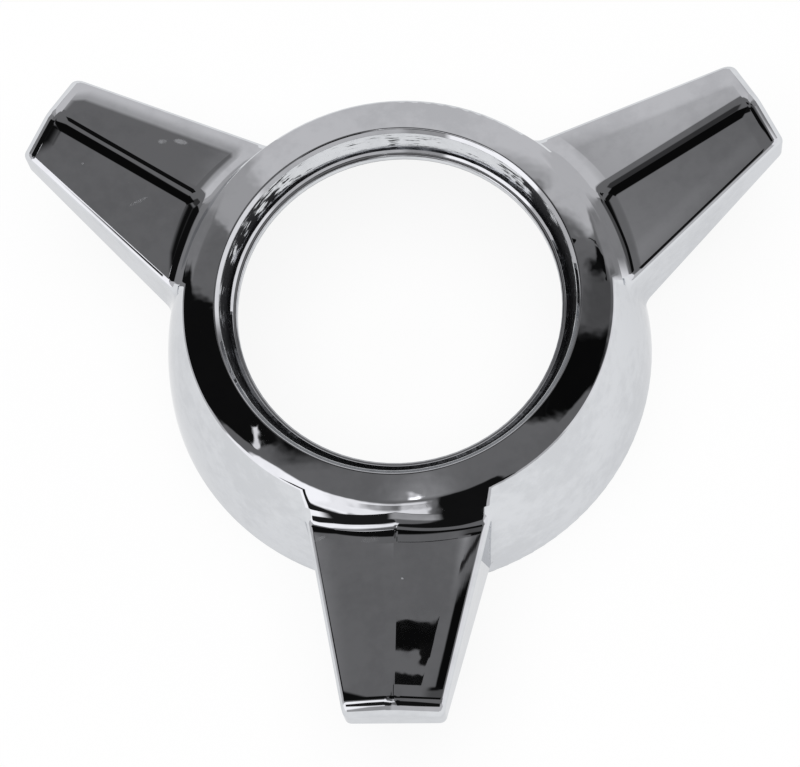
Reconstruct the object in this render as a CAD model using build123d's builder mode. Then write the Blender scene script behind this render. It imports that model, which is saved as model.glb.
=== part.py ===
# Three-bar wheel spinner: one hollow die-casting, front face up, bore on the Z axis, back rim on Z = 0.
import os
from math import cos, radians, sin, sqrt, tan
from build123d import *

os.makedirs("parts", exist_ok=True)

# Seat for the centre medallion, from the front inwards
medallion_diameter = 63.5
medallion_clearance = 0.25
mouth_chamfer = 0.8
seat_cylinder_length = 1.8
seat_depth = 4.8
seat_taper_width = 1.4
lip_hole_diameter = 58.6
lip_thickness = 1.9
lip_edge_radius = 0.4

# Hub: a bell-shaped wall with a thick ring at the front
hub_height = 30.8
ring_outer_diameter = 77.8
ring_fall = 1.5
ring_edge_radius = 1.2
base_diameter = 90.8
flank_bulge = 1.1
foot_radius = 1.0
hub_wall = 3.2
inside_corner_radius = 1.5

# Recess at the back that locates on the wheel's centre boss
boss_diameter = 84.0
boss_clearance = 0.25
recess_depth = 5.0

# Bars: gable roof that rises outwards, sloping underside; root sizes are at the hub's base radius
bar_count = 3
first_bar_angle = 30.0
tip_diameter = 151.0
bar_root_width = 30.1
bar_tip_width = 17.4
bar_root_depth = 20.0
bar_tip_depth = 9.4
ridge_drop = 2.9
ridge_rise_angle = 7.9
gable_angle = 13.0
ridge_radius = 6.0
tip_edge_radius = 2.6
bar_edge_radius = 1.3
underside_edge_radius = 0.6
bar_blend_radius = 2.6

# Cored pocket under each bar
bar_wall = 3.0
pocket_setback = 1.6
pocket_corner_radius = 1.5
pocket_ceiling_radius = 0.8

# Sizes that follow from those above
seat_radius = medallion_diameter / 2 + medallion_clearance
mouth_radius = seat_radius + mouth_chamfer
chamfer_height = hub_height - mouth_chamfer
seat_cylinder_height = chamfer_height - seat_cylinder_length
ledge_height = hub_height - seat_depth
ledge_radius = seat_radius - seat_taper_width
lip_hole_radius = lip_hole_diameter / 2
lip_underside = ledge_height - lip_thickness
ring_radius = ring_outer_diameter / 2
ring_edge_height = hub_height - ring_fall
base_radius = base_diameter / 2
recess_radius = boss_diameter / 2 + boss_clearance
tip_radius = tip_diameter / 2
pocket_root = base_radius + pocket_setback
pocket_tip = tip_radius - bar_wall
above_front = 2 * hub_height

# Arc of the hub's flank, from its chord and bulge
flank_chord = sqrt((base_radius - ring_radius) ** 2 + ring_edge_height**2)
flank_arc_radius = flank_chord**2 / (8 * flank_bulge) + flank_bulge / 2
flank_reach = flank_arc_radius - flank_bulge
flank_centre_x = (base_radius + ring_radius) / 2 - flank_reach * ring_edge_height / flank_chord
flank_centre_z = ring_edge_height / 2 - flank_reach * (base_radius - ring_radius) / flank_chord


def flank_radius(height, inset):
    return flank_centre_x + sqrt((flank_arc_radius - inset) ** 2 - (height - flank_centre_z) ** 2)


def along_bar(station, root_value, tip_value):
    return root_value + (tip_value - root_value) * (station - base_radius) / (tip_radius - base_radius)


def half_width(station):
    return along_bar(station, bar_root_width, bar_tip_width) / 2


def ridge_height(station):
    return ring_edge_height - ridge_drop + tan(radians(ridge_rise_angle)) * (station - ring_radius)


def underside_height(station):
    return ridge_height(station) - along_bar(station, bar_root_depth, bar_tip_depth)


def roof_faces(piece):
    return piece.faces().filter_by(lambda face: face.normal_at().Z > 0.5)


def upright_faces(piece):
    walls = piece.faces().filter_by(lambda face: abs(face.normal_at().Z) < 0.1)
    return walls.filter_by(lambda face: face.center().X > ring_radius)


def underside_faces(piece):
    return piece.faces().filter_by(lambda face: face.normal_at().Z < -0.5)


def root_face(piece):
    return piece.faces().sort_by(Axis.X)[0]


def end_face(piece):
    return piece.faces().sort_by(Axis.X)[-1]


# Edges along the roof's sides, round the end of the roof and down the corners of the end
def upper_edges(piece):
    walls = piece.faces().filter_by(lambda face: abs(face.normal_at().Y) > 0.9)
    return walls.edges() - underside_faces(piece).edges() - root_face(piece).edges()


def corner(profile, radius, height):
    return profile.vertices().sort_by_distance((radius, height))[0]


# Radii of the hollow's wall where the recess ends and under the lip
hollow_foot_radius = flank_radius(recess_depth, hub_wall)
hollow_top_radius = flank_radius(lip_underside, hub_wall)

# Plane square to the rising ridge, and the gable's half width and drop on it
ridge_direction = (cos(radians(ridge_rise_angle)), 0, sin(radians(ridge_rise_angle)))
roof_plane = Plane((seat_radius, 0, ridge_height(seat_radius)), (0, 1, 0), ridge_direction)
gable_half = 2 * half_width(seat_radius)
gable_drop = gable_half * tan(radians(gable_angle))
ceiling_drop = bar_wall / cos(radians(gable_angle))

# One solid bar along +X, trimmed by its plan, its side outline and its gable roof
with BuildPart() as bar:
    with BuildSketch(Plane.XY):
        with BuildLine():
            Polyline(
                (seat_radius, -half_width(seat_radius)),
                (tip_radius, -half_width(tip_radius)),
                (tip_radius, half_width(tip_radius)),
                (seat_radius, half_width(seat_radius)),
                close=True,
            )
        make_face()
    extrude(amount=above_front)
    with BuildSketch(Plane.XZ):
        with BuildLine():
            Polyline(
                (seat_radius, underside_height(seat_radius)),
                (tip_radius, underside_height(tip_radius)),
                (tip_radius, above_front),
                (seat_radius, above_front),
                close=True,
            )
        make_face()
    extrude(amount=gable_half, both=True, mode=Mode.INTERSECT)
    with BuildSketch(roof_plane):
        with BuildLine():
            Polyline(
                (-gable_half, -above_front),
                (gable_half, -above_front),
                (gable_half, -gable_drop),
                (0, 0),
                (-gable_half, -gable_drop),
                close=True,
            )
        make_face()
    extrude(amount=tip_diameter, both=True, mode=Mode.INTERSECT)
    fillet(bar.edges().filter_by(Axis((0, 0, 0), ridge_direction)), ridge_radius)
    fillet(roof_faces(bar).edges() & end_face(bar).edges(), tip_edge_radius)
    fillet(upper_edges(bar), bar_edge_radius)
    fillet(underside_faces(bar).edges() & upright_faces(bar).edges(), underside_edge_radius)

# Hollow of one bar: its plan, end and roof drawn in by the wall, open downwards
with BuildPart() as pocket:
    with BuildSketch(Plane.XY):
        with BuildLine():
            Polyline(
                (pocket_root, bar_wall - half_width(pocket_root)),
                (pocket_tip, bar_wall - half_width(pocket_tip)),
                (pocket_tip, half_width(pocket_tip) - bar_wall),
                (pocket_root, half_width(pocket_root) - bar_wall),
                close=True,
            )
        make_face()
    extrude(amount=above_front)
    fillet(pocket.edges().filter_by(Axis.Z), pocket_corner_radius)
    with BuildSketch(roof_plane):
        with BuildLine():
            Polyline(
                (-gable_half, -above_front),
                (gable_half, -above_front),
                (gable_half, -gable_drop - ceiling_drop),
                (0, -ceiling_drop),
                (-gable_half, -gable_drop - ceiling_drop),
                close=True,
            )
        make_face()
    extrude(amount=tip_diameter, both=True, mode=Mode.INTERSECT)
    fillet(pocket.edges().filter_by(Axis((0, 0, 0), ridge_direction)), ridge_radius)
    fillet(roof_faces(pocket).edges() & upright_faces(pocket).edges(), pocket_ceiling_radius)

# The casting: turned hub with the bars blended into it, then the bore, the hollow back and the pockets
with BuildPart() as spinner:
    with BuildSketch(Plane.XZ) as hub_profile:
        with BuildLine():
            Line((0, 0), (base_radius, 0))
            ThreePointArc(
                (base_radius, 0),
                (flank_radius(ring_edge_height / 2, 0), ring_edge_height / 2),
                (ring_radius, ring_edge_height),
            )
            Polyline((ring_radius, ring_edge_height), (mouth_radius, hub_height), (0, hub_height), (0, 0))
        make_face()
        fillet(corner(hub_profile, ring_radius, ring_edge_height), ring_edge_radius)
        fillet(corner(hub_profile, base_radius, 0), foot_radius)
    revolve(axis=Axis.Z)
    with PolarLocations(0, bar_count, start_angle=first_bar_angle):
        add(bar.part)
    fillet(spinner.edges(Select.NEW), bar_blend_radius)
    with BuildSketch(Plane.XZ) as hollow_profile:
        with BuildLine():
            Polyline(
                (0, 0),
                (recess_radius, 0),
                (recess_radius, recess_depth),
                (hollow_foot_radius, recess_depth),
            )
            ThreePointArc(
                (hollow_foot_radius, recess_depth),
                (flank_radius(lip_underside / 2, hub_wall), lip_underside / 2),
                (hollow_top_radius, lip_underside),
            )
            Polyline(
                (hollow_top_radius, lip_underside),
                (lip_hole_radius, lip_underside),
                (lip_hole_radius, ledge_height),
                (ledge_radius, ledge_height),
                (seat_radius, seat_cylinder_height),
                (seat_radius, chamfer_height),
                (mouth_radius, hub_height),
                (0, hub_height),
                (0, 0),
            )
        make_face()
        fillet(corner(hollow_profile, hollow_top_radius, lip_underside), inside_corner_radius)
        fillet(corner(hollow_profile, lip_hole_radius, lip_underside), lip_edge_radius)
        fillet(corner(hollow_profile, lip_hole_radius, ledge_height), lip_edge_radius)
    revolve(axis=Axis.Z, mode=Mode.SUBTRACT)
    with PolarLocations(0, bar_count, start_angle=first_bar_angle):
        add(pocket.part, mode=Mode.SUBTRACT)

spinner.part.label = "spinner"
export_step(spinner.part, "parts/spinner.step")
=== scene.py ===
from math import radians, sin, tan

import bpy
from mathutils import Matrix

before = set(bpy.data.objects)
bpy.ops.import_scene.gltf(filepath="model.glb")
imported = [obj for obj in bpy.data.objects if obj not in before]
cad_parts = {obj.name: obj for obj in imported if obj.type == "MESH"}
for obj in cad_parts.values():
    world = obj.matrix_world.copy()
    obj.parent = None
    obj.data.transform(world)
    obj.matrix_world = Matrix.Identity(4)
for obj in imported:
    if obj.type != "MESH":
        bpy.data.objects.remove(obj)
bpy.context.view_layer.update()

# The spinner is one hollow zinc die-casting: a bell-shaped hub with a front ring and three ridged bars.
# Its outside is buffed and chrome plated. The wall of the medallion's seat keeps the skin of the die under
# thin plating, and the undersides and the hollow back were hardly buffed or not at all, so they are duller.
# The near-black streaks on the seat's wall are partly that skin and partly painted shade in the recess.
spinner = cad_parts["spinner"]

# Softness of the borders between faces, in millimetres as all sizes of the casting here
usual_edge = 0.12
narrow_edge = 0.05
fine_edge = 0.02
millimetres = 1000.0


def feed(tree, socket, value):
    if isinstance(value, bpy.types.NodeSocket):
        tree.links.new(value, socket)
    else:
        socket.default_value = value


def new_node(tree, kind, settings, **values):
    node = tree.nodes.new(kind)
    for name, value in settings.items():
        setattr(node, name, value)
    for name, value in values.items():
        socket = int(name[1:]) if name[1:].isdigit() else name.replace("_", " ")
        feed(tree, node.inputs[socket], value)
    return node


def reckon(tree, operation, a, b=0.0, c=0.0):
    return new_node(tree, "ShaderNodeMath", {"operation": operation}, i0=a, i1=b, i2=c).outputs[0]


def both(tree, a, b):
    return reckon(tree, "MULTIPLY", a, b)


def ramp(tree, value, start, end, kind="SMOOTHSTEP"):
    settings = {"interpolation_type": kind, "clamp": True}
    return new_node(tree, "ShaderNodeMapRange", settings, i0=value, i1=start, i2=end).outputs[0]


def below(tree, value, limit, edge=usual_edge):
    return ramp(tree, reckon(tree, "SUBTRACT", limit, value), -edge, edge)


def between(tree, value, least, most):
    return reckon(tree, "MINIMUM", reckon(tree, "MAXIMUM", value, least), most)


def length(tree, a, b):
    return reckon(tree, "SQRT", reckon(tree, "MULTIPLY_ADD", b, b, both(tree, a, a)))


def blend(tree, share, a, b, kind="FLOAT"):
    first, second, result = {"FLOAT": (2, 3, 0), "VECTOR": (4, 5, 1), "RGBA": (6, 7, 2)}[kind]
    node = new_node(tree, "ShaderNodeMix", {"data_type": kind}, i0=share)
    feed(tree, node.inputs[first], a)
    feed(tree, node.inputs[second], b)
    return node.outputs[result]


def vector(tree, x, y, z):
    return new_node(tree, "ShaderNodeCombineXYZ", {}, X=x, Y=y, Z=z).outputs[0]


def vector_sum(tree, a, b):
    return new_node(tree, "ShaderNodeVectorMath", {"operation": "ADD"}, i0=a, i1=b).outputs[0]


def scaled(tree, a, scale):
    return new_node(tree, "ShaderNodeVectorMath", {"operation": "SCALE"}, i0=a, Scale=scale).outputs[0]


def unit(tree, a):
    return new_node(tree, "ShaderNodeVectorMath", {"operation": "NORMALIZE"}, i0=a).outputs[0]


def split(tree, a):
    return new_node(tree, "ShaderNodeSeparateXYZ", {}, i0=a).outputs


def noise(tree, point, scale, detail, roughness=0.5):
    settings = {"noise_dimensions": "3D"}
    values = {"Vector": point, "Scale": scale, "Detail": detail, "Roughness": roughness}
    return new_node(tree, "ShaderNodeTexNoise", settings, **values).outputs[0]


def new_group(name, inputs, outputs):
    tree = bpy.data.node_groups.new(name, "ShaderNodeTree")
    for name, default in inputs.items():
        socket = tree.interface.new_socket(name, in_out="INPUT", socket_type="NodeSocketFloat")
        socket.default_value = default
    for name, kind in outputs.items():
        tree.interface.new_socket(name, in_out="OUTPUT", socket_type=kind)
    return tree, tree.nodes.new("NodeGroupInput"), tree.nodes.new("NodeGroupOutput")


def object_point(tree):
    return tree.nodes.new("ShaderNodeTexCoord").outputs["Object"]


def casting_place(tree):
    x, y, height = split(tree, scaled(tree, object_point(tree), millimetres))
    return x, y, height, length(tree, x, y)


# Faces of the casting: which of them keep the skin of the die, and the true slope of the turned and
# buffed ones
casting, _, casting_out = new_group(
    "faces of the casting",
    {},
    {
        "Seat": "NodeSocketFloat",
        "Inside": "NodeSocketFloat",
        "Bar": "NodeSocketFloat",
        "Underside": "NodeSocketFloat",
        "Normal": "NodeSocketVector",
    },
)
x, y, height, radius = casting_place(casting)

# Place along and across the nearest bar
bar_angle = 30.0
bar_step = 120.0
bar_start = 45.4
bar_start_half_width = 15.05
bar_half_taper = 0.211
turn = reckon(casting, "ARCTAN2", y, x)
from_bar = reckon(casting, "SUBTRACT", turn, radians(bar_angle))
bar_turn = reckon(casting, "WRAP", from_bar, radians(bar_step / 2), radians(-bar_step / 2))
along = both(casting, radius, reckon(casting, "COSINE", bar_turn))
aside = both(casting, radius, reckon(casting, "SINE", bar_turn))
across = reckon(casting, "ABSOLUTE", aside)
which_side = reckon(casting, "SIGN", aside)
past_start = reckon(casting, "SUBTRACT", along, bar_start)
half_width = reckon(casting, "MULTIPLY_ADD", past_start, -bar_half_taper, bar_start_half_width)
to_side = reckon(casting, "SUBTRACT", half_width, across)
bar_course = reckon(casting, "SUBTRACT", turn, bar_turn)
bar_x = reckon(casting, "COSINE", bar_course)
bar_y = reckon(casting, "SINE", bar_course)

# Skin of the die: the seat's wall, the hollow under the hub and the pockets under the bars
seat_wall_radius = 32.0
seat_wall_margin = 0.04
seat_wall_edge = 0.03
seat_corner_top = 30.6
seat_corner_margin = 0.1
ledge_height = 25.9
hollow_rim_radius = 43.9
hollow_lean = 0.19
hollow_top_height = 24.6
ridge_start = 38.9
ridge_start_height = 26.4
ridge_rise = radians(7.9)
gable_angle = 13.0
gable_fall = tan(radians(gable_angle))
pocket_start = 46.0
pocket_end = 74.0
half_wall = 1.5
past_corner = below(casting, seat_corner_top, radius, seat_corner_margin)
within_wall = below(casting, radius, seat_wall_radius + seat_wall_margin, seat_wall_edge)
above_ledge = below(casting, ledge_height, height, narrow_edge)
in_seat = both(casting, both(casting, past_corner, within_wall), above_ledge)
hollow_limit = reckon(casting, "MULTIPLY_ADD", height, -hollow_lean, hollow_rim_radius)
in_hollow = both(casting, below(casting, height, hollow_top_height), below(casting, radius, hollow_limit))
past_ridge = reckon(casting, "SUBTRACT", along, ridge_start)
roof_run = reckon(casting, "MULTIPLY_ADD", past_ridge, tan(ridge_rise), ridge_start_height - half_wall)
roof_limit = reckon(casting, "MULTIPLY_ADD", across, -gable_fall, roof_run)
in_length = both(casting, below(casting, pocket_start, along), below(casting, along, pocket_end))
in_width = below(casting, across, reckon(casting, "SUBTRACT", half_width, half_wall))
in_pocket = both(casting, in_length, both(casting, in_width, below(casting, height, roof_limit)))
inside = reckon(casting, "MAXIMUM", in_hollow, in_pocket)

# Undersides, told by the way they face
skin = casting.nodes.new("ShaderNodeNewGeometry").outputs["Normal"]
skin_up = split(casting, skin)["Z"]
underside_start = -0.1
underside_full = -0.35
underside = ramp(casting, skin_up, underside_start, underside_full)

# Roll-off of the buffed roofs towards their sides, tip and root, also laid on the rounded edges next to them
bar_mask_start = 39.6
bar_mask_end = 41.5
bar_tip = 75.5
side_roll_width = 5.0
side_roll_slope = 0.075
tip_roll_width = 5.0
tip_roll_slope = 0.18
root_roll_start = 44.4
root_roll_end = 42.3
root_roll_slope = 0.18
edge_up_start = 0.5
edge_up_full = 0.85
on_bar = ramp(casting, radius, bar_mask_start, bar_mask_end)
side_lean = both(casting, ramp(casting, to_side, side_roll_width, 0.0, "LINEAR"), side_roll_slope)
tip_lean = both(casting, ramp(casting, along, bar_tip - tip_roll_width, bar_tip, "LINEAR"), tip_roll_slope)
root_lean = both(casting, ramp(casting, radius, root_roll_start, root_roll_end, "LINEAR"), root_roll_slope)
end_lean = reckon(casting, "ADD", tip_lean, root_lean)
lean_out = reckon(casting, "MULTIPLY_ADD", side_lean, bar_half_taper, end_lean)


def bar_vector(out_x, out_y, outward, sideways, up):
    vector_x = reckon(casting, "SUBTRACT", both(casting, outward, out_x), both(casting, sideways, bar_y))
    vector_y = reckon(casting, "ADD", both(casting, outward, out_y), both(casting, sideways, bar_x))
    return vector(casting, vector_x, vector_y, up)


on_edge = both(casting, on_bar, ramp(casting, skin_up, edge_up_start, edge_up_full))
edge_out = both(casting, lean_out, on_edge)
edge_side = both(casting, both(casting, side_lean, which_side), on_edge)
edge_lean = bar_vector(bar_x, bar_y, edge_out, edge_side, 0.0)
buffed = vector_sum(casting, skin, edge_lean)

# Roofs of the bars: a gable with a rounded ridge, sharper on the near bar, and a blend up to the ring
blend_radius = 3.6
blend_centre = 41.65
blend_spread = 0.07
blend_flank_angle = radians(28.0)
near_bar_start = -36.0
near_bar_run = 6.0
ridge_round_width = 2.0
near_ridge_width = 0.4
roof_side_margin = 1.25
roof_side_edge = 0.15
roof_end = 72.5
roof_inner_radius = 38.6
roof_up_start = 0.05
roof_up_full = 0.2
blend_line = reckon(casting, "MULTIPLY_ADD", across, blend_spread, blend_centre)
rise = both(casting, reckon(casting, "SUBTRACT", radius, blend_line), 1.0 / blend_radius)
rise = between(casting, rise, -sin(blend_flank_angle), sin(ridge_rise))
roof_share = ramp(casting, rise, -sin(blend_flank_angle), sin(ridge_rise), "LINEAR")
level_up = reckon(casting, "SQRT", reckon(casting, "SUBTRACT", 1.0, both(casting, rise, rise)))
near_bar = ramp(casting, y, near_bar_start, near_bar_start - near_bar_run)
ridge_half = blend(casting, near_bar, ridge_round_width, near_ridge_width)
gable = reckon(casting, "DIVIDE", both(casting, across, gable_angle), ridge_half)
gable = reckon(casting, "RADIANS", reckon(casting, "MINIMUM", gable, gable_angle))
gable = both(casting, reckon(casting, "TANGENT", gable), roof_share)
roof_side = both(casting, reckon(casting, "ADD", gable, side_lean), which_side)
out_x = blend(casting, roof_share, reckon(casting, "DIVIDE", x, radius), bar_x)
out_y = blend(casting, roof_share, reckon(casting, "DIVIDE", y, radius), bar_y)
roof = bar_vector(out_x, out_y, reckon(casting, "SUBTRACT", lean_out, rise), roof_side, level_up)
roof = unit(casting, roof)
within_sides = below(casting, roof_side_margin, to_side, roof_side_edge)
within_ends = both(
    casting, below(casting, along, roof_end), below(casting, roof_inner_radius, radius, narrow_edge)
)
on_roof = both(casting, within_sides, within_ends)
on_roof = both(casting, on_roof, ramp(casting, skin_up, roof_up_start, roof_up_full))
buffed = blend(casting, on_roof, buffed, roof, "VECTOR")

# Turned face of the ring and the seat, in degrees up from straight outwards: a crowned ring that rolls off
# to its edge, a softened mouth, the chamfer, the taper, a softened corner and the ledge
ring_middle_radius = 35.5
ring_half_width = 2.75
ring_face_angle = 76.2
ring_crown_angle = 1.3
ring_roll_start = 36.9
ring_roll_angle = 6.5
ring_edge_start = 38.28
mouth_radius = 32.8
mouth_edge = 0.25
chamfer_angle = 135.0
seat_step_radius = 32.08
seat_step_edge = 0.04
seat_taper_angle = 159.0
seat_corner_foot = 29.98
ledge_angle = 90.0
ledge_inner_radius = 29.75
off_middle = reckon(casting, "SUBTRACT", ring_middle_radius, radius)
crown = between(casting, off_middle, -ring_half_width, ring_half_width)
face = reckon(casting, "MULTIPLY_ADD", crown, ring_crown_angle / ring_half_width, ring_face_angle)
turned_steps = (
    (mouth_radius, mouth_edge, ring_face_angle, chamfer_angle),
    (seat_step_radius, seat_step_edge, chamfer_angle, seat_taper_angle),
    (seat_corner_top, usual_edge, seat_taper_angle, chamfer_angle),
    (seat_corner_foot, usual_edge, chamfer_angle, ledge_angle),
)
for step_radius, step_edge, outer_angle, inner_angle in turned_steps:
    share = ramp(casting, radius, step_radius + step_edge, step_radius - step_edge)
    face = reckon(casting, "MULTIPLY_ADD", share, inner_angle - outer_angle, face)
rolled_off = ramp(casting, radius, ring_roll_start, ring_edge_start)
face = reckon(casting, "MULTIPLY_ADD", rolled_off, -ring_roll_angle, face)
face_slope = reckon(casting, "RADIANS", face)

# Rounded edge of the ring and bell-shaped flank; over a bar they fall more gently into the bar's root
ring_edge_centre = (38.004, 28.285)
ring_edge_radius = 1.2
ring_edge_overlap = 0.06
ring_edge_foot = 28.69
ring_foot_edge = 0.03
ring_fall_angle = 69.5
ring_fall_start = 0.3
ring_fall_depth = 3.0
ring_fall_outside = -1.2
ring_fall_inside = 1.8
flank_centre = (-57.245, -7.40)
flank_arc_radius = 102.91
arc_gap = 0.09
arc_gap_over_bar = 0.3
blend_top_height = 28.5
blend_reach = 1.9
blend_reach_edge = 0.25
over_bar = below(casting, -blend_reach, to_side, blend_reach_edge)
blend_top = reckon(casting, "MULTIPLY_ADD", across, -gable_fall, blend_top_height)
by_bar = both(casting, over_bar, below(casting, height, blend_top))
clear_of_bar = reckon(casting, "SUBTRACT", 1.0, by_bar)
gap_limit = reckon(casting, "MULTIPLY_ADD", over_bar, arc_gap_over_bar, arc_gap)
past_face = below(casting, ring_edge_start - ring_edge_overlap, radius, fine_edge)
within_face = below(casting, radius, ring_edge_start + ring_edge_overlap, fine_edge)
past_hole = below(casting, ledge_inner_radius, radius, narrow_edge)
on_turned = both(casting, both(casting, within_face, past_hole), above_ledge)
arc_slopes = []
turned_arcs = ((ring_edge_centre, ring_edge_radius), (flank_centre, flank_arc_radius))
for (centre_radius, centre_height), arc_radius in turned_arcs:
    out = reckon(casting, "SUBTRACT", radius, centre_radius)
    up = reckon(casting, "SUBTRACT", height, centre_height)
    gap = reckon(casting, "ABSOLUTE", reckon(casting, "SUBTRACT", length(casting, out, up), arc_radius))
    on_arc = both(casting, below(casting, gap, gap_limit, fine_edge), past_face)
    on_turned = reckon(casting, "MAXIMUM", on_turned, both(casting, on_arc, clear_of_bar))
    arc_slopes.append(reckon(casting, "ARCTAN2", up, out))
arc_slope = blend(casting, below(casting, height, ring_edge_foot, ring_foot_edge), *arc_slopes)
fall_top = ring_edge_foot + ring_fall_start
fall = ramp(casting, height, fall_top, ring_edge_foot - ring_fall_depth, "LINEAR")
softest = blend(casting, fall, radians(ring_fall_angle), radians(90.0) - blend_flank_angle)
softest = both(casting, ramp(casting, to_side, ring_fall_outside, ring_fall_inside), softest)
rolled = radians(ring_face_angle - ring_crown_angle - ring_roll_angle)
arc_slope = reckon(casting, "MAXIMUM", reckon(casting, "MINIMUM", arc_slope, rolled), softest)
slope = blend(casting, below(casting, ring_edge_start, radius, fine_edge), face_slope, arc_slope)
outward = reckon(casting, "DIVIDE", reckon(casting, "COSINE", slope), radius)
lathe_x = both(casting, outward, x)
lathe_y = both(casting, outward, y)
lathe = vector(casting, lathe_x, lathe_y, reckon(casting, "SINE", slope))
shape = unit(casting, blend(casting, on_turned, buffed, lathe, "VECTOR"))
found = {"Seat": in_seat, "Inside": inside, "Bar": on_bar, "Underside": underside, "Normal": shape}
for name, value in found.items():
    casting.links.new(value, casting_out.inputs[name])

# Mark left on the plating by a knock or a rub, in millimetres over the front
mark_fade_start = 1.2
mark_fade_end = 0.3
mark_sizes = {"Middle X": 0.0, "Middle Y": 0.0, "Half Length": 1.0, "Half Width": 0.2, "Turn": 0.0}
rub_mark, mark_in, mark_out = new_group(
    "rub mark", {"X": 0.0, "Y": 0.0, **mark_sizes}, {"Mask": "NodeSocketFloat"}
)
off_x = reckon(rub_mark, "SUBTRACT", mark_in.outputs["X"], mark_in.outputs["Middle X"])
off_y = reckon(rub_mark, "SUBTRACT", mark_in.outputs["Y"], mark_in.outputs["Middle Y"])
mark_turn = reckon(rub_mark, "RADIANS", mark_in.outputs["Turn"])
turn_x = reckon(rub_mark, "COSINE", mark_turn)
turn_y = reckon(rub_mark, "SINE", mark_turn)
lengthways = reckon(rub_mark, "MULTIPLY_ADD", off_x, turn_x, both(rub_mark, off_y, turn_y))
sideways = reckon(rub_mark, "SUBTRACT", both(rub_mark, off_y, turn_x), both(rub_mark, off_x, turn_y))
lengthways = reckon(rub_mark, "DIVIDE", lengthways, mark_in.outputs["Half Length"])
sideways = reckon(rub_mark, "DIVIDE", sideways, mark_in.outputs["Half Width"])
squared = both(rub_mark, sideways, sideways)
from_middle = reckon(rub_mark, "MULTIPLY_ADD", lengthways, lengthways, squared)
rub_mark.links.new(ramp(rub_mark, from_middle, mark_fade_start, mark_fade_end), mark_out.inputs["Mask"])

# Chrome plate: bright and a little smudged, with rubs and nicks on the roofs of the bars
chrome_tint = (0.690, 0.705, 0.730, 1.0)
smudge_tint = (0.62, 0.634, 0.658, 1.0)
edge_tint = (0.83, 0.835, 0.845, 1.0)
haze_scale = 60.0
fine_haze_scale = 420.0
haze_share = 0.6
smudge_start = 0.42
smudge_full = 0.62
grain_scale = 1400.0
fray_scale = 420.0
fray_start = 0.2
fray_full = 0.6
mark_metal_loss = 0.3
chrome = bpy.data.materials.new("chrome_plate")
chrome.use_nodes = True
tree = chrome.node_tree
surface = tree.nodes["Principled BSDF"]
place = new_node(tree, "ShaderNodeGroup", {"node_tree": casting}).outputs
spot = object_point(tree)
x, y, height, radius = casting_place(tree)
fine_haze = both(tree, noise(tree, spot, fine_haze_scale, 4.0, 0.6), 1.0 - haze_share)
haze = reckon(tree, "MULTIPLY_ADD", noise(tree, spot, haze_scale, 3.0), haze_share, fine_haze)
smudge = ramp(tree, haze, smudge_start, smudge_full)
grain = noise(tree, spot, grain_scale, 4.0, 0.65)

# marks: middle to the right, middle to the far side, half length, half width, turn, dullness
wear_marks = {
    "scratch": (-47.9, 21.0, 1.9, 0.3, 25.0, 0.45),
    "first rub": (-43.9, 32.7, 0.9, 0.6, 10.0, 0.16),
    "second rub": (-40.6, 32.9, 1.4, 0.6, -10.0, 0.16),
    "third rub": (-13.7, -42.5, 1.2, 0.35, 20.0, 0.25),
    "fourth rub": (-4.5, -43.4, 1.8, 0.6, 5.0, 0.12),
    "first nick": (1.3, -51.0, 0.25, 0.2, 0.0, 0.45),
    "second nick": (-58.2, 27.9, 0.3, 0.2, 40.0, 0.3),
}
fray = ramp(tree, noise(tree, spot, fray_scale, 2.0), fray_start, fray_full)
dull = 0.0
for name, (*sizes, dullness) in wear_marks.items():
    mark = new_node(tree, "ShaderNodeGroup", {"node_tree": rub_mark, "label": name}, X=x, Y=y)
    for socket, value in zip(mark_sizes, sizes):
        mark.inputs[socket].default_value = value
    dull = reckon(tree, "MULTIPLY_ADD", both(tree, mark.outputs[0], fray), dullness, dull)

# Skin of the die in the seat, with painted shade of the recess: near-black streaks that run round the wall,
# fewer on the far side, so the far side is painted lighter
skin_and_shade_tint = (0.035, 0.035, 0.038, 1.0)
hollow_tint = (0.34, 0.345, 0.355, 1.0)
streak_stretch = 0.16
streak_by_radius = 0.9
streak_by_height = 1.7
streak_scale = 1.6
streak_share = 0.55
blotch_scale = 260.0
far_side_start = 19.0
far_side_full = 28.5
skin_and_shade_limit_near = 0.42
skin_and_shade_limit_rise = 0.17
skin_and_shade_edge = (-0.02, 0.04)
streak_line = reckon(tree, "MULTIPLY_ADD", radius, streak_by_radius, both(tree, height, streak_by_height))
streak_point = vector(tree, both(tree, x, streak_stretch), both(tree, y, streak_stretch), streak_line)
streak = noise(tree, streak_point, streak_scale, 4.0, 0.6)
blotch = noise(tree, spot, blotch_scale, 3.0)
far_side = ramp(tree, y, far_side_start, far_side_full)
skin_and_shade_limit = reckon(tree, "MULTIPLY_ADD", far_side, skin_and_shade_limit_rise, skin_and_shade_limit_near)
skin_and_shade = reckon(tree, "MULTIPLY_ADD", blotch, 1.0 - streak_share, both(tree, streak, streak_share))
skin_and_shade = ramp(tree, reckon(tree, "SUBTRACT", skin_and_shade, skin_and_shade_limit), *skin_and_shade_edge)
skin_and_shade = both(tree, place["Seat"], skin_and_shade)
colour = blend(tree, smudge, chrome_tint, smudge_tint, "RGBA")
# Painted shade: the near-black streak colour is partly the bare die skin and partly shade painted into the
# seat's recess
colour = blend(tree, skin_and_shade, colour, skin_and_shade_tint, "RGBA")
colour = blend(tree, place["Inside"], colour, hollow_tint, "RGBA")
tree.links.new(colour, surface.inputs["Base Color"])
tree.links.new(reckon(tree, "MULTIPLY_ADD", dull, -mark_metal_loss, 1.0), surface.inputs["Metallic"])
surface.inputs["Specular Tint"].default_value = edge_tint

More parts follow.
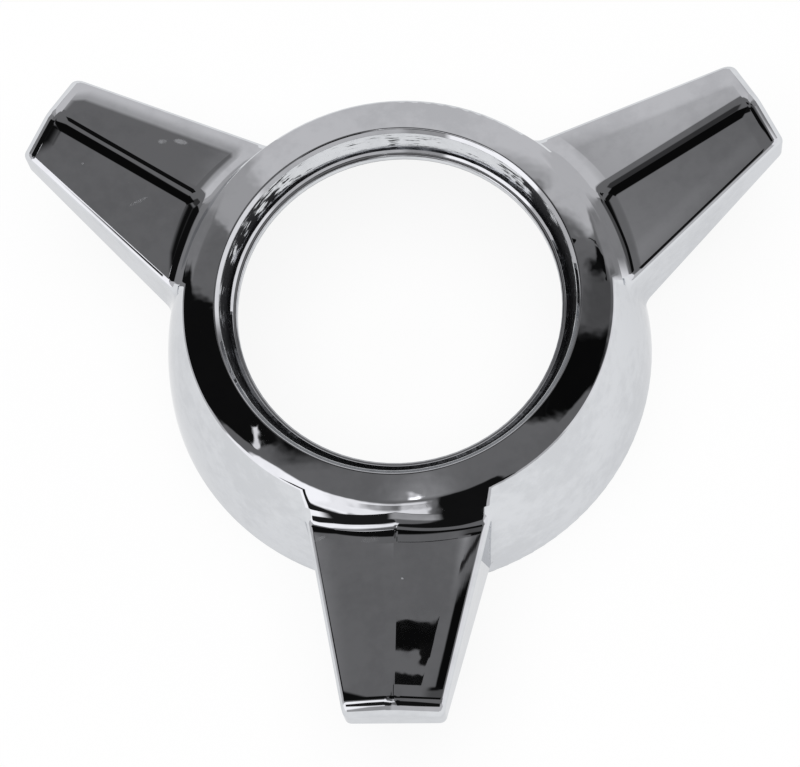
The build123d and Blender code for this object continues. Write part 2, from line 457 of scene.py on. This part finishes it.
# Roughness and fine relief, each as a least value and what the smudges, streaks or grain add to it
plate_rough, smudge_rough = 0.008, 0.012
seat_rough, bare_rough = 0.08, 0.3
underside_rough, underside_grain = 0.22, 0.1
hollow_rough, hollow_grain = 0.3, 0.2
ripple_scale = 190.0
ring_ripple = 0.036
bar_ripple_loss = 0.034
streak_relief = 0.015
seat_grain_relief = 0.012
hollow_relief = 0.12
relief_unit = 0.001
rough = reckon(tree, "MULTIPLY_ADD", smudge, smudge_rough, plate_rough)
rough = reckon(tree, "ADD", dull, rough)
rough = blend(tree, place["Seat"], rough, reckon(tree, "MULTIPLY_ADD", skin_and_shade, bare_rough, seat_rough))
satin = reckon(tree, "MULTIPLY_ADD", grain, underside_grain, underside_rough)
rough = blend(tree, place["Underside"], rough, satin)
rough = blend(tree, place["Inside"], rough, reckon(tree, "MULTIPLY_ADD", grain, hollow_grain, hollow_rough))
tree.links.new(rough, surface.inputs["Roughness"])
ripple_height = reckon(tree, "MULTIPLY_ADD", place["Bar"], -bar_ripple_loss, ring_ripple)
relief = both(tree, noise(tree, spot, ripple_scale, 2.0), ripple_height)
seat_relief = reckon(tree, "MULTIPLY_ADD", streak, streak_relief, both(tree, grain, seat_grain_relief))
relief = blend(tree, place["Seat"], relief, seat_relief)
relief = blend(tree, place["Inside"], relief, both(tree, grain, hollow_relief))
bump = new_node(tree, "ShaderNodeBump", {}, Strength=1.0, Distance=relief_unit, Height=relief)
tree.links.new(place["Normal"], bump.inputs["Normal"])
tree.links.new(bump.outputs[0], surface.inputs["Normal"])
spinner.material_slots[0].material = chrome

# The floor is a plain white sheet under the spinner. It is lit from its own colour for the camera and
# for the metal, and keeps a soft shadow; from below it is clear.
floor_size = 6.0
floor_glow = 0.9
sheet_white = (0.9, 0.9, 0.9, 1.0)
glow_white = (1.0, 1.0, 1.0, 1.0)
bpy.ops.mesh.primitive_plane_add(size=floor_size, location=(0, 0, 0))
floor = bpy.context.object
floor.name = "floor"
sheet = bpy.data.materials.new("white_sheet")
sheet.use_nodes = True
tree = sheet.node_tree
tree.nodes.remove(tree.nodes["Principled BSDF"])


def seen_or_mirrored(tree):
    path = tree.nodes.new("ShaderNodeLightPath").outputs
    mirrored = reckon(tree, "MAXIMUM", path["Is Glossy Ray"], path["Is Transmission Ray"])
    return reckon(tree, "MAXIMUM", path["Is Camera Ray"], mirrored)


glow_share = both(tree, seen_or_mirrored(tree), floor_glow)
matt = new_node(tree, "ShaderNodeBsdfDiffuse", {}, Color=sheet_white).outputs[0]
glow = new_node(tree, "ShaderNodeEmission", {}, Color=glow_white, Strength=1.0).outputs[0]
lit = new_node(tree, "ShaderNodeMixShader", {}, i0=glow_share, i1=matt, i2=glow).outputs[0]
clear = tree.nodes.new("ShaderNodeBsdfTransparent").outputs[0]
back = tree.nodes.new("ShaderNodeNewGeometry").outputs["Backfacing"]
two_sided = new_node(tree, "ShaderNodeMixShader", {}, i0=back, i1=lit, i2=clear).outputs[0]
tree.links.new(two_sided, tree.nodes["Material Output"].inputs["Surface"])
floor.data.materials.append(sheet)

# The studio tent round the spinner is what the chrome mirrors: a grey ceiling, pale walls, soft lights and
# black cloths. The camera looks past it. Cards overhead are placed in degrees right and far from straight
# above, wall cards in degrees round the room and down from straight above.
tent_radius = 8.0
ceiling_level = 0.165
cloth_white = (1.0, 0.985, 1.0)
waver_scale = 130.0
waver_reach = 0.3
bpy.ops.mesh.primitive_uv_sphere_add(segments=64, ring_count=32, radius=tent_radius)
tent = bpy.context.object
tent.name = "tent"
tent.visible_camera = False
tent.visible_shadow = False
cloth = bpy.data.materials.new("tent_cloth")
cloth.use_nodes = True
cloth.cycles.emission_sampling = "NONE"
tree = cloth.node_tree
tree.nodes.remove(tree.nodes["Principled BSDF"])

# Card hung in the tent: an oblong with soft edges, between two directions of either kind
card_sizes = {"Middle A": 0.0, "Half A": 10.0, "Middle B": 0.0, "Half B": 10.0, "Soft": 2.0}
card, card_in, card_out = new_group(
    "studio card", {"Place A": 0.0, "Place B": 0.0, **card_sizes}, {"Mask": "NodeSocketFloat"}
)
softness = card_in.outputs["Soft"]
shares = []
for axis in ("A", "B"):
    apart = reckon(card, "SUBTRACT", card_in.outputs["Place " + axis], card_in.outputs["Middle " + axis])
    apart = reckon(card, "ABSOLUTE", reckon(card, "WRAP", apart, 180.0, -180.0))
    margin = reckon(card, "SUBTRACT", card_in.outputs["Half " + axis], apart)
    shares.append(ramp(card, margin, both(card, softness, -1.0), softness))
card.links.new(both(card, *shares), card_out.inputs["Mask"])

# Directions from the spinner, with a slight waver in the hang of the overhead cards
course = unit(tree, object_point(tree))
x, y, z = split(tree, course)
turn = reckon(tree, "ARCTAN2", y, x)
azimuth = reckon(tree, "DEGREES", turn)
zenith = reckon(tree, "DEGREES", reckon(tree, "ARCCOSINE", z))
waver = reckon(tree, "MULTIPLY_ADD", noise(tree, course, waver_scale, 3.0), waver_reach, -waver_reach / 2)
right = reckon(tree, "MULTIPLY_ADD", zenith, reckon(tree, "COSINE", turn), waver)
far = reckon(tree, "MULTIPLY_ADD", zenith, reckon(tree, "SINE", turn), waver)

# card: middle and half size round the room, middle and half size down from above, softness, level
wall_cards = {
    "walls": (0, 200, 98, 42, 6, 0.6),
    "far wall": (97, 36, 85, 42.2, 0.8, 0.43),
    "far wall light": (92.5, 29.5, 89, 43.5, 2, 0.68),
    "far wall end": (58.5, 7.5, 82, 42.4, 1.8, 0.58),
    "left far corner": (146, 13, 88, 41, 3, 0.25),
    "right far corner": (40, 9, 88, 42, 3, 0.27),
    "right wall": (0, 27, 92, 35, 3, 0.96),
    "left cloth": (167, 20, 42, 20, 1.5, 0.006),
    "near right cloth": (296, 16, 41, 21, 2, 0.008),
    "near wall": (252, 11, 80, 50, 3, 0.4),
    "near strip": (269, 7, 30, 5.5, 2, 1.0),
    "soft light": (222, 22, 77, 50, 2, 1.3),
    "near left strip": (247, 17, 31.5, 5, 2, 1.15),
    "near left cloth": (242, 21, 50.5, 11, 1.5, 0.015),
}
# card: middle and half size to the right, middle and half size to the far side, softness, level
overhead_cards = {
    "lamp glow": (-0.5, 3.5, -14, 4, 5, 0.4),
    "overhead cloth": (-14.2, 5.8, 15, 7.5, 1.5, 0.04),
    "overhead boom": (-5, 7, 3, 9, 0.8, 0.004),
    "right boom": (10, 9, 5, 5, 1, 0.006),
    "left cloth end": (-17, 6, -1.5, 4, 2.5, 0.006),
    "right cloth": (29, 11.5, 8, 7.5, 1.5, 0.004),
    "right cloth end": (32, 8.5, 21, 6, 2, 0.085),
    "rail": (8.5, 4, 23.7, 4.6, 0.4, 0.006),
    "stand": (29.5, 4, 27.3, 2.3, 0.3, 0.004),
    "stand knob": (25.5, 1.5, 25.5, 1.3, 1.0, 0.006),
    "stand clip": (26.5, 2.0, 30.3, 0.14, 0.1, 0.02),
    "stand box": (21.16, 0.81, 29.5, 0.3, 0.02, 0.004),
    "stand side": (21.5, 0.47, 29.15, 0.22, 0.03, 0.006),
    "stand foot": (20.9, 0.55, 28.63, 0.12, 0.02, 0.006),
    "small lamp": (-25.9, 0.6, -1.6, 1.9, 0.3, 0.95),
    "lamp": (-1, 0.8, -15, 2.4, 1.0, 3.0),
}
level = ceiling_level
for cards, place_a, place_b in ((wall_cards, azimuth, zenith), (overhead_cards, right, far)):
    for name, (*sizes, shade) in cards.items():
        hung = new_node(tree, "ShaderNodeGroup", {"node_tree": card, "label": name})
        tree.links.new(place_a, hung.inputs["Place A"])
        tree.links.new(place_b, hung.inputs["Place B"])
        for socket, value in zip(card_sizes, sizes):
            hung.inputs[socket].default_value = value
        level = blend(tree, hung.outputs[0], level, shade)
shine = new_node(tree, "ShaderNodeEmission", {}, Color=scaled(tree, cloth_white, level), Strength=1.0)
tree.links.new(shine.outputs[0], tree.nodes["Material Output"].inputs["Surface"])
tent.data.materials.append(cloth)

# One broad soft lamp from above gives the spinner its shadow on the sheet; beyond the tent all is white,
# and dimmer where it only lights the sheet.
lamp_strength = 2.6
lamp_spread = radians(70)
beyond_light = 0.4
lamp = bpy.data.objects.new("soft_lamp", bpy.data.lights.new("soft_lamp", "SUN"))
lamp.data.energy = lamp_strength
lamp.data.angle = lamp_spread
lamp.visible_glossy = False
bpy.context.collection.objects.link(lamp)
white = bpy.data.worlds.new("white")
white.use_nodes = True
bpy.context.scene.world = white
tree = white.node_tree
beyond = tree.nodes["Background"]
beyond_level = reckon(tree, "MULTIPLY_ADD", seen_or_mirrored(tree), 1.0 - beyond_light, beyond_light)
tree.links.new(beyond_level, beyond.inputs["Strength"])
beyond.inputs["Color"].default_value = glow_white

# The camera stands over the near bar, a little to the right of it, with a long lens.
camera_swing = radians(4.598)
camera_lean = radians(18.654)
camera_roll = radians(0.659)
camera_distance = 0.59145
camera_aim = (-0.0017855, -0.0054899)
camera_lens = 141.9
camera_sensor = 36.0
camera_nearest = 0.01
camera = bpy.data.objects.new("camera", bpy.data.cameras.new("camera"))
bpy.context.collection.objects.link(camera)
camera.data.lens = camera_lens
camera.data.sensor_width = camera_sensor
camera.data.clip_start = camera_nearest
swing = Matrix.Rotation(camera_swing, 4, "Y")
lean = Matrix.Rotation(camera_lean, 4, "X")
roll = Matrix.Rotation(camera_roll, 4, "Z")
camera.matrix_world = swing @ lean @ roll @ Matrix.Translation((*camera_aim, camera_distance))
bpy.context.scene.camera = camera
bpy.context.scene.view_settings.view_transform = "Standard"
